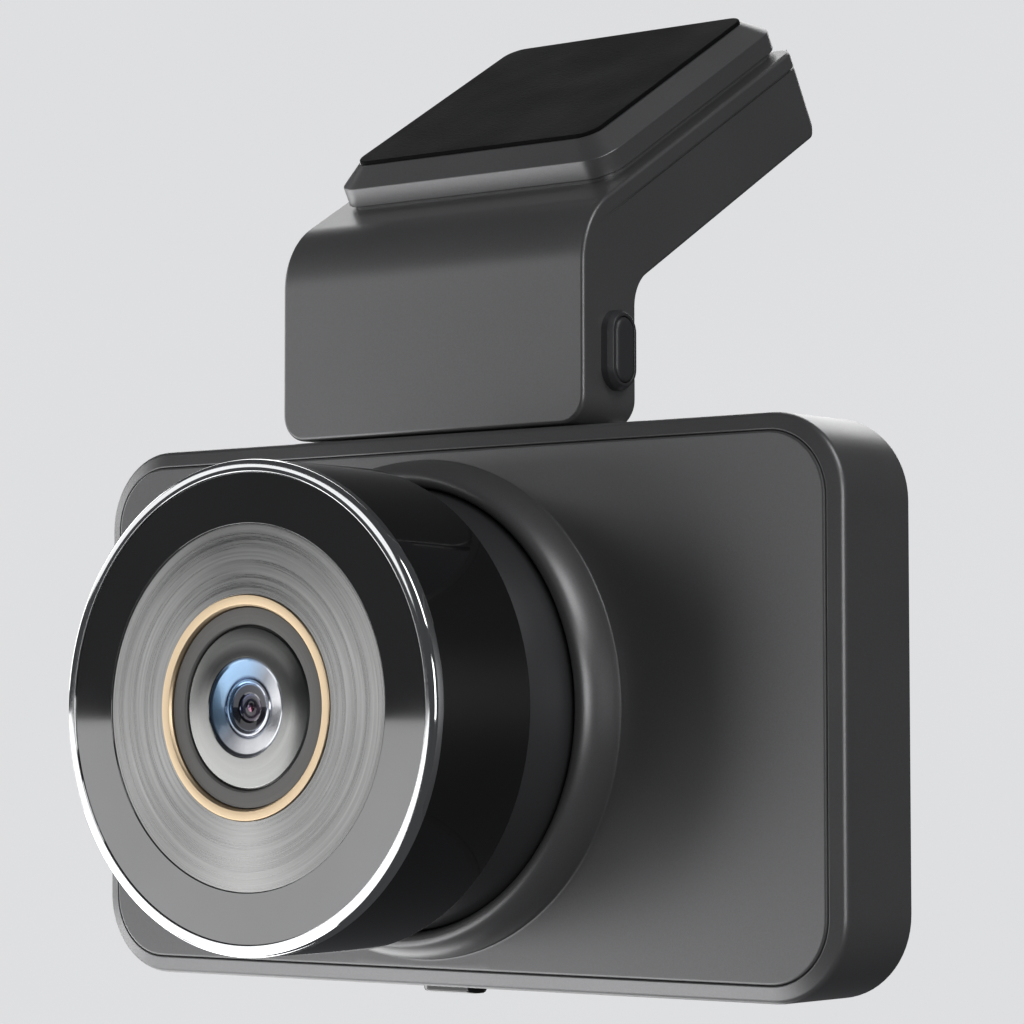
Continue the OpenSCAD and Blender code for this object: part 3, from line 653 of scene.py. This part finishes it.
def panel_angles():
    """Directions from the lens axis that follow both the ring and the outline's corners."""
    count, closest = 240, math.radians(0.35)
    found = [TAU * k / count for k in range(count)]
    for x, z in body_outline(PANEL_INSET, 14):
        found.append(math.atan2(z - AXIS_Z, x) % TAU)
    found.sort()
    kept = [found[0]]
    for a in found[1:]:
        if a - kept[-1] > closest and TAU - a > closest:
            kept.append(a)
    return kept


def oval(cx, cy, wide, high, angles):
    """Points of an ellipse's arc at the given angles in degrees."""
    return [(cx + wide * math.cos(math.radians(a)), cy + high * math.sin(math.radians(a))) for a in angles]


def front_panel():
    """Panel in one piece with the raised ring: (radius, t) up to the ring's foot, then (inset, depth)."""
    crest = 22.5
    ring = [(21.9, -1.6), (21.8, 2.0), (21.62, 3.2)]
    ring += oval(crest, 3.1, 0.88, 1.2, range(165, 89, -15))
    ring += oval(crest, 0, 1.85, 4.3, range(80, 9, -5))
    ring += [(24.33, 0.3), (24.35, 0.1), (24.39, 0.03), (24.45, 0.0), (RING_FOOT, 0.0)]
    edge = [(2.02, 0.0), (1.9, 0.03), (1.8, 0.1), (PANEL_INSET, 0.22), (PANEL_INSET, 1.6)]
    flat_end = edge[0][0]
    rows = []
    angles = panel_angles()
    for r, t in ring:
        rows.append([on_axis(r, a, t) for a in angles])
    for share in (0.3, 0.65):
        rows.append([on_axis(RING_FOOT + (reach(a, flat_end) - RING_FOOT) * share, a, 0) for a in angles])
    for inset, depth in edge:
        rows.append([on_axis(reach(a, inset), a, -depth) for a in angles])
    piece(loft(rows, closed=True), "front_panel_shaped", "camera", "shell_plastic", ["front_panel"])


front_panel()


def frame_section():
    """Section of the housing's frame as (inset, y): wall, ledge for the glass and lip of the web."""
    corners = [
        (1.7, 1.7, 0), (1.7, 0.1, 0.14), (0.0, 0.72, 0.7), (0.0, 12.0, 1.25),
        (1.7, 12.0, 0.14), (1.7, GLASS_Y, 0), (3.5, GLASS_Y, 0.1), (3.5, 10.2, 0),
        (1.5, 10.2, 0), (1.5, 2.9, 0), (3.0, 2.9, 0), (3.0, 1.7, 0),
    ]
    return filleted(corners, step=12)


def housing():
    rings = [[at(x, y, z) for x, z in body_outline(inset)] for inset, y in frame_section()]
    obj = solid(loft(rings, closed=True))
    # web between the panel and the boards, with its opening for the ball
    angles = panel_angles()
    web_front, web_back = 1.72, 2.88
    rows = [[on_axis(HOLE_R, a, -y) for a in angles] for y in (web_back, web_front)]
    rows += [[on_axis(reach(a, 2.4), a, -y) for a in angles] for y in (web_front, web_back)]
    boolean(obj, solid(loft(rows, closed=True)), "UNION")
    # well for the bracket's tongue, with a seat for each contact
    well_floor = 49.9
    boolean(obj, solid(prism(rounded(0, 5.4, 23.6, 7.38, 0.3, 3), 48.7, 52.6, upright)), "UNION")
    boolean(obj, solid(prism(rounded(0, TONGUE_Y, 20.6, 4.8, 1.1), well_floor, 55, upright)))
    seats = bmesh.new()
    for x in PIN_X:
        prism(rounded(x, TONGUE_Y, 2.0, 2.6, 0.05, 2), well_floor - 0.3, 50.5, upright, seats)
    boolean(obj, solid(seats))
    # openings of the bottom key, the loudspeaker, the microphone and the card
    holes = prism(pill(*POWER_KEY, 7.5, 2.8), -1, 3, upright)
    vents = [(27 + 2.2 * i, 4.4, 1.0) for i in range(-2, 3)] + [(-20, 4.5, 0.8)]
    for x, y, size in vents:
        prism(rounded(x, y, size, size, size / 2 - 0.001, 6), -1, 2.6, upright, holes)
    card_z = (CARD[2] + CARD[3]) / 2
    prism(rounded(4.9, card_z, 1.2, 11.4, 0.25, 4), -44, -40, across, holes)
    boolean(obj, solid(holes))
    piece(obj, "housing_shaped", "camera", "shell_plastic", ["main_housing"])


housing()


def screen():
    """Rear glass with a rounded edge, as (inset, y)."""
    inset, back = 1.8, 11.8
    section = [(3.0, GLASS_Y), (inset, GLASS_Y), (inset, 11.6), (1.84, 11.72), (1.93, 11.78),
               (2.05, back), (4.0, back)]
    rings = [[at(x, y, z) for x, z in body_outline(inset)] for inset, y in section]
    piece(loft(rings), "screen_glass_shaped", "camera", "screen_glass", ["screen_glass"])


screen()


def power_key():
    """Domed pill with a flange inside the housing, as (inset, z)."""
    long, wide = 7.2, 2.5
    section = [(0.5, -0.8), (0.28, -0.77), (0.1, -0.66), (0.0, -0.48),
               (0.0, 1.6), (-0.5, 1.6), (-0.5, 2.2), (0.4, 2.2)]
    rings = [[at(x, y, z) for x, y in pill(*POWER_KEY, long - 2 * inset, wide - 2 * inset)]
             for inset, z in section]
    piece(loft(rings), "power_key_shaped", "power_button", "gloss_black", ["power_key"])


power_key()


def card():
    left, right, low, high = CARD
    outline = [(left, low), (left, high), (right, high), (right, low + 2.3), (right - 2, low)]
    obj = solid(prism(outline, 4.55, 5.25, through))
    bevel(obj, 0.12, 3)
    piece(obj, "memory_card_shaped", "card", "chip_black", ["memory_card"])


card()


# ---------------------------------------------------------------- bracket

SKIN = 1.7                         # cover's thickness


def bracket_blank():
    """Whole outer form of the bracket, with soft edges."""
    front, back, foot = STEM
    foot_r, rear_r, rear_u = 2.75, 2, 40.4
    side = [(front, foot), (back, foot)]
    side += arc(*FILLET, 180, ARM_END, 10)
    side += [on_arm(40.6, -9.4), on_arm(41.485, -8.6), on_arm(42.4, 0)]
    side += arc(*BEND, ARM_END, 180, 18)
    obj = solid(prism(side, -BRACKET_HALF, BRACKET_HALF, across))
    w = BRACKET_HALF
    for s in (-1, 1):
        foot_cut = [(s * (w + 1), foot - 1), (s * (w + 1), foot + foot_r)]
        foot_cut += [(s * x, z) for x, z in arc(w - foot_r, foot + foot_r, foot_r, 0, -90, 12)]
        foot_cut += [(s * (w - foot_r), foot - 1)]
        boolean(obj, solid(prism(foot_cut, -2, 12, through)))
        rear_cut = [(s * (w + 1), 44), (s * (w + 1), rear_u)]
        rear_cut += [(s * x, u) for x, u in arc(w - rear_r, rear_u, rear_r, 0, 90, 10)]
        rear_cut += [(s * (w - rear_r), 44)]
        boolean(obj, solid(prism(rear_cut, -12, 2, above_arm)))
    bm = bmesh.new()
    bm.from_mesh(obj.data)
    bmesh.ops.remove_doubles(bm, verts=bm.verts, dist=2e-7)
    bmesh.ops.dissolve_limit(bm, angle_limit=math.radians(0.2), verts=bm.verts, edges=bm.edges)
    bm.to_mesh(obj.data)
    bm.free()
    return bevel(obj, 0.42, 4, 32)


def skin_region():
    """Space in front of and above the cover's parting face, which lies SKIN under the outside."""
    line = [(STEM[0] + SKIN, 51)] + arc(BEND[0], BEND[1], BEND[2] - SKIN, 180, ARM_END, 14)
    line.append(on_arm(46, -SKIN))
    around = [on_arm(46, 12), (-12, 95), (-12, 51)]
    return solid(prism(line + around, -24, 24, across))


def groove():
    """U-shaped cutter that opens the parting line round the arm and fades out at the bend."""
    w, deep, start, end = BRACKET_HALF, 0.3, 1.5, 44
    edge = [(w, start), (w - 0.12, 5), (w - deep, 11)] + arc(w - 2, 40.2, 2 - deep, 0, 90, 8)
    poly = edge + [(-x, u) for x, u in reversed(edge)]
    poly += [(-w - 1, start), (-w - 1, end), (w + 1, end), (w + 1, start)]
    return solid(prism(poly, -1.84, -1.58, above_arm))


HEAD_SEAT = -8.6                   # d of the face on which the screw heads rest


def screw_places():
    return [(s * SCREW_X, u) for s in (-1, 1) for u in SCREW_U]


def bracket():
    blank = bracket_blank()
    cover = duplicate(blank)
    region, cutter = skin_region(), groove()
    boolean(cover, region, "INTERSECT", keep=True)
    boolean(cover, cutter, keep=True)
    piece(cover, "bracket_cover_shaped", "bracket", "shell_plastic", ["bracket_cover"])

    shell, wall = blank, 1.5
    boolean(shell, region)
    boolean(shell, cutter)
    floor = STEM[2] + wall
    hollow = [(2.6, floor), (STEM[1] - wall, floor)]
    hollow += arc(FILLET[0], FILLET[1], FILLET[2] + wall, 180, ARM_END, 10)
    hollow += [on_arm(39.9, -7.9), on_arm(40.6, -1.6)]
    hollow += arc(BEND[0], BEND[1], BEND[2] - SKIN + 0.1, ARM_END, 180, 12)
    boolean(shell, solid(prism(hollow, wall - BRACKET_HALF, BRACKET_HALF - wall, across)))
    tongue = rounded(0, TONGUE_Y, 20, 4.2, 0.8)
    boolean(shell, solid(prism(tongue, 50.2, 55.6, upright)), "UNION")
    holes = prism(pill(*KEY, 3.2, 6.7), 16, 21, across)
    prism(rounded(USB_Y, KEY[1], 3.46, 9.14, 1.6), -21, -16, across, holes)
    for x in PIN_X:
        prism(rounded(x, TONGUE_Y, 1.44, 1.44, 0.719, 6), 49, 57, upright, holes)
    for x, u in screw_places():
        prism(rounded(x, u, 3.8, 3.8, 1.899, 8), -10.5, HEAD_SEAT, above_arm, holes)
    boolean(shell, solid(holes))
    piece(shell, "bracket_shell_shaped", "bracket", "shell_plastic", ["bracket_shell"])


bracket()


def pad():
    """Bevelled base plate and the foam on it, as (inset, d) with the corner's radius."""
    top, bevel_in = 4.2, 1.9

    def ring(inset, d, r):
        side = PAD_SIDE - 2 * inset
        return [at_arm(x, u, d) for x, u in rounded(0, PAD_U, side, side, r, 10)]

    def corner_r(inset):
        if inset < bevel_in + 0.01:
            return 3 - 0.8 * min(inset / bevel_in, 1)
        return max(2.2 - (inset - bevel_in), 0.5)

    corners = [(6, 0, 0), (0.4, 0.0, 0), (0.4, 0.42, 0), (0.0, 0.42, 0.14),
               (0.0, 2.45, 0.2), (bevel_in, top, 0.14), (8, top, 0)]
    section = filleted(corners, closed=False, step=12)
    rings = [ring(inset, d, corner_r(inset)) for inset, d in section]
    piece(loft(rings), "pad_base_shaped", "bracket", "shell_plastic", ["pad_base"])

    foam_in, foam_top = 2.05, 4.6
    corners = [(5, top, 0), (foam_in, top, 0), (foam_in, foam_top, 0.16), (5, foam_top, 0)]
    section = filleted(corners, closed=False, step=15)
    rings = [ring(inset, d, max(2.0 - (inset - foam_in), 0.5)) for inset, d in section]
    foam = piece(loft(rings), "adhesive_foam_shaped", "bracket", "adhesive_foam", ["adhesive_pad"])


pad()


def side_key():
    """Raised collar on the stem and the button in it, as (inset, x)."""
    def ring(w, h, x):
        return [at(x, y, z) for y, z in pill(*KEY, w, h)]

    corners = [(0, 19.0, 0), (0, 19.95, 0.15), (0.36, 20.5, 0.16), (0.67, 20.5, 0.12), (0.67, 19.0, 0)]
    rings = [ring(4.4 - 2 * i, 7.8 - 2 * i, x) for i, x in filleted(corners, step=12)]
    piece(loft(rings, closed=True), "button_collar_shaped", "bracket", "key_plastic", ["button_collar"])

    section = [(0.6, 20.65), (0.4, 20.63), (0.2, 20.56), (0.06, 20.42), (0.0, 20.25),
               (0.0, 17.6), (-0.3, 17.6), (-0.3, 16.36), (0.5, 16.36)]
    rings = [ring(2.9 - 2 * i, 6.4 - 2 * i, x) for i, x in section]
    piece(loft(rings), "side_button_shaped", "side_key", "key_plastic", ["side_button"])


side_key()


def usb():
    """Charging inlet: metal shell, its blade and two rows of contacts."""
    def ring(inset, x):
        outline = rounded(USB_Y, KEY[1], 3.26 - 2 * inset, 8.94 - 2 * inset, 1.6 - inset, 10)
        return [at(x, y, z) for y, z in outline]

    corners = [(0, -19.15, 0.1), (0.33, -19.15, 0.1), (0.33, -12.6, 0), (0, -12.6, 0)]
    shell = loft([ring(i, x) for i, x in filleted(corners, step=20)], closed=True)
    loft([ring(0.3, -12.9), ring(0.3, -11.85)], bm=shell)
    piece(shell, "usb_shell_shaped", "bracket", "sheet_metal", ["usb_socket"])
    blade = solid(prism(rounded(USB_Y, KEY[1], 0.7, 6.7, 0.3, 4), -18.4, -12.8, across))
    bevel(blade, 0.06, 2)
    piece(blade, "usb_blade", "bracket", "chip_black")
    strips, count, pitch = bmesh.new(), 12, 0.5
    for i in range(count):
        z = KEY[1] - 2.75 + pitch * i
        for y in (5.2, 5.92):
            prism(rounded(y, z, 0.06, 0.26, 0.02, 2), -18.2, -14, across, strips)
    piece(strips, "usb_contacts", "bracket", "contact_gold")


usb()


def screws():
    """Heads and shanks of the four screws under the arm, each with a cross recess."""
    section = [(0.3, -9.27), (1.0, -9.25), (1.45, -9.14), (1.7, -8.95), (1.75, -8.75),
               (1.75, HEAD_SEAT), (0.68, HEAD_SEAT), (0.68, -4)]
    long, narrow, sides = 2.0, 0.42, 32
    whole = bmesh.new()
    for x, u in screw_places():
        rings = [[at_arm(*p, d) for p in arc(x, u, r, 0, 360 - 360 / sides, sides - 1)] for r, d in section]
        head = solid(loft(rings))
        boolean(head, solid(prism(rounded(x, u, long, narrow, 0.1, 2), -9.6, -8.9, above_arm)))
        boolean(head, solid(prism(rounded(x, u, narrow, long, 0.1, 2), -9.6, -8.88, above_arm)))
        whole.from_mesh(head.data)
        discard(head)
    piece(whole, "bracket_screws_shaped", "bracket", "screw_steel", ["bracket_screws"])


screws()


# ---------------------------------------------------------------- turret

def turned(name, slot, corners, nodes, step=15, seg=192, paint=None):
    """Turned piece from corners (radius, t in front of the panel, fillet)."""
    piece(lathe(filleted(corners, step=step), seg), name, "turret", slot, nodes, paint=paint)


turned("barrel_shaped", "gloss_black", [
    (20.8, BARREL_REAR, 0), (BARREL_R, BARREL_REAR, 0.22), (BARREL_R, SEAT_T, 0.05),
    (9.4, SEAT_T, 0), (9.4, 23.4, 0), (20.8, 23.4, 0),
], ["barrel_shell"], seg=256)


def turret_ball():
    """Hollow ball behind the barrel, and the flange by which it is screwed to it."""
    def on_ball(r, t):
        return (math.sqrt(r ** 2 - (t - PIVOT_T) ** 2), t)

    wall, rear, steps = 1.6, -0.6, 30
    flange = BARREL_REAR + 1.5
    section = [on_ball(BALL_R, rear + 12.5 * k / steps) for k in range(steps + 1)]
    section += [(19.1, BARREL_REAR), (20.72, BARREL_REAR), (20.72, flange),
                (9.2, flange), (9.2, BARREL_REAR), (16.6, BARREL_REAR)]
    section += [on_ball(BALL_R - wall, t) for t in (11.5, 9, 6, 3, 0, rear)]
    piece(lathe(section), "turret_ball_shaped", "turret", "gloss_black", ["turret_neck"],
          paint=finish["key_plastic"])


turret_ball()

turned("chrome_ring_shaped", "chrome_trim", [
    (21.87, SEAT_T, 0), (BARREL_R, SEAT_T, 0.04), (BARREL_R, 25.7, 0.55),
    (22.3, 25.8, 0.6), (21.87, 25.8, 0.08),
], ["chrome_ring"], step=9, seg=256)

turned("bezel_shaped", "gloss_black", [
    (17.08, SEAT_T, 0), (21.85, SEAT_T, 0), (21.85, 25.65, 0.06), (17.08, 25.65, 0.06),
], ["bezel_ring"], seg=256, paint=bezel_mirror)

turned("disc_shaped", "brushed_alloy", [
    (10.5, SEAT_T, 0), (17.05, SEAT_T, 0), (17.05, 25.55, 0.06), (10.5, 25.55, 0.06),
], ["brushed_disc"], seg=256)

turned("gold_ring_shaped", "gold_alloy", [
    (9.4, SEAT_T, 0), (10.45, SEAT_T, 0), (10.45, 25.7, 0.07),
    (9.6, 25.68, 0.05), (9.4, 25.45, 0.05),
], ["gold_ring"])

turned("retainer_shaped", "shell_plastic", [
    (7.7, 22.6, 0), (9.3, 22.6, 0), (9.3, 25.3, 0.08), (7.85, 25.3, 0.04), (7.7, 25.15, 0.05),
], ["lens_retainer"], paint=retainer_grey)

turned("lens_dish_shaped", "lens_metal", [
    (4.65, 22.6, 0), (7.65, 22.6, 0), (7.65, 24.95, 0),
    (7.4, 25.15, 0.1), (6.0, 25.38, 6), (4.65, 25.5, 0.06),
], ["lens_baffle"], paint=lens_dish_painted_shade)


def front_lens():
    """Coated front lens: a shallow bowl that steps down to a dark pupil with a small bead in its middle."""
    rim, rear = 4.62, 21.5
    steps = [(rim, 25.42), (4.45, 25.36), (4.3, 25.3), (3.7, 25.19), (3.1, 25.08), (2.85, 25.05),
             (2.8, 24.96), (2.72, 24.96), (2.62, 25.08), (2.45, 25.1), (2.3, 25.04), (2.2, 24.94),
             (1.9, 24.9), (1.45, 24.86), (1.3, 24.8), (1.25, 24.72), (1.0, 24.68), (0.7, 24.68),
             (0.42, 24.7), (0.4, 24.76), (0.3, 24.82), (0.15, 24.86)]
    section = [(r, t, 0.04) for r, t in steps] + [(0, 24.87, 0), (0, rear, 0), (rim, rear, 0)]
    piece(lathe(filleted(section), 160), "front_lens_shaped", "turret", "lens_glass", ["front_lens"],
          weighted=False, paint=lens_coating_and_painted_light)


front_lens()

# CAD nodes that keep their shape take the procedural finish of their slot
slot_of = {row["node"]: row["material_slot"] for row in frame["record"]["subparts"]}
for name, obj in frame["nodes"].items():
    obj.data.materials.clear()
    obj.data.materials.append(finish[slot_of[name]])


# ---------------------------------------------------------------- studio

PAPER = (0.78, 0.785, 0.80)


def paper():
    """Pale paper that keeps an even tone: it glows softly and takes almost no light from the softboxes."""
    m = Nodes("floor_paper")
    wide = m.noise(3, 3).outputs["Fac"]
    m.colour(m.ramp(wide, (0.3, shade(PAPER, 0.004)), (0.7, shade(PAPER, 0.005))))
    m.link(m.ramp(wide, (0.3, shade(PAPER, 0.98)), (0.7, PAPER)), m.shader.inputs["Emission Color"])
    m.shader.inputs["Emission Strength"].default_value = 0.95
    m.fixed(roughness=0.9, specular=0.0)
    return m.material


def sweep():
    """Pale floor that curves up into a backdrop behind the object. Lengths in metres."""
    drop, flat, curve, top = 0.45, 0.9, 0.6, 2.2
    centre = Vector((0.0, 0.0, body_low.z - drop))
    back = Vector((-math.sin(CAM_AZIMUTH), math.cos(CAM_AZIMUTH), 0))
    side = Vector((math.cos(CAM_AZIMUTH), math.sin(CAM_AZIMUTH), 0))
    profile = [(-3.2, 0.0), (-1.0, 0.0), (flat, 0.0)]
    profile += arc(flat, curve, curve, -81, 0, 9)
    profile += [(flat + curve, top)]
    columns = (-3, -1, 1, 3)
    bm = bmesh.new()
    rows = []
    for run, rise in profile:
        base = centre + back * run + Vector((0, 0, rise))
        rows.append([bm.verts.new(base + side * k) for k in columns])
    for a, b in zip(rows, rows[1:]):
        for i in range(len(columns) - 1):
            bm.faces.new((a[i], a[i + 1], b[i + 1], b[i]))
    obj = solid(bm, "floor")
    obj.data.materials.append(paper())
    obj.data.shade_smooth()
    obj.visible_glossy = obj.visible_diffuse = obj.visible_shadow = False


def softbox(name, azimuth, elevation, wide, high, radiance, distance=1.0):
    """Area light; angles and angular size in degrees from where the lens axis meets the panel, metres away.

    Azimuth 0 is in front of the panel and 90 is to its right.
    """
    a, e = math.radians(azimuth), math.radians(elevation)
    away = Vector((math.sin(a) * math.cos(e), -math.cos(a) * math.cos(e), math.sin(e)))
    lamp = bpy.data.lights.new(name, "AREA")
    lamp.shape = "RECTANGLE"
    lamp.size = 2 * distance * math.tan(math.radians(wide / 2)) * math.cos(e)
    lamp.size_y = 2 * distance * math.tan(math.radians(high / 2))
    lamp.energy = radiance * math.pi * lamp.size * lamp.size_y
    obj = bpy.data.objects.new(name, lamp)
    obj.location = at(0, 0, AXIS_Z) + away * distance
    obj.rotation_euler = (-away).to_track_quat("-Z", "Y").to_euler()
    bpy.context.scene.collection.objects.link(obj)
    obj.visible_camera = False


# Camera: the photograph's viewing angle and distance
CAM_AZIMUTH = math.radians(38.346)
CAM_PITCH = math.radians(-3.506)
CAM_ROLL = math.radians(-0.053)
CAM_PLACE = (229.98, -276.41, 24.30)  # x, y, z from the base
lens = bpy.data.cameras.new("photo_camera")
lens.sensor_width = 36
lens.lens = 128.87
lens.clip_start, lens.clip_end = 0.02, 20
camera = bpy.data.objects.new("photo_camera", lens)
bpy.context.scene.collection.objects.link(camera)
level = Vector((math.sin(CAM_AZIMUTH), -math.cos(CAM_AZIMUTH), 0))
back = level * math.cos(CAM_PITCH) + Vector((0, 0, math.sin(CAM_PITCH)))
right = Vector((math.cos(CAM_AZIMUTH), math.sin(CAM_AZIMUTH), 0))
turn = Matrix((right, back.cross(right), back)).transposed() @ Matrix.Rotation(CAM_ROLL, 3, "Z")
camera.matrix_world = Matrix.Translation(at(*CAM_PLACE)) @ turn.to_4x4()
bpy.context.scene.camera = camera

sweep()

# name, azimuth, elevation, width and height in degrees, radiance
softbox("table", -48, -12.8, 50, 26, 1.4)
softbox("band", -46, 13, 44, 10, 1.0)
softbox("left_low", -80, -19, 22, 20, 3.2)
softbox("left_high", -79, 15, 20, 26, 2.4)
softbox("low_front", -46, -38, 44, 22, 3.0)
softbox("under_left", -112, -42, 52, 30, 2.5)
softbox("far_left", -100, -4, 24, 36, 1.6)
softbox("front_right", 58, 6, 30, 20, 3.4)
softbox("upper_right", 80, 44, 40, 26, 3.0)
softbox("rear_left", -150, 32, 50, 44, 2.4)

# World: pale behind the object, dim where it lights the object
world = bpy.data.worlds.new("studio")
bpy.context.scene.world = world
world.use_nodes = True
sky = world.node_tree
rays = sky.nodes.new("ShaderNodeLightPath")
tone = sky.nodes.new("ShaderNodeMix")
tone.data_type = "RGBA"
tone.inputs["A"].default_value = (0.05, 0.051, 0.054, 1)
tone.inputs["B"].default_value = (*PAPER, 1)
sky.links.new(rays.outputs["Is Camera Ray"], tone.inputs["Factor"])
sky.links.new(tone.outputs["Result"], sky.nodes["Background"].inputs["Color"])
bpy.context.scene.view_settings.view_transform = "Standard"
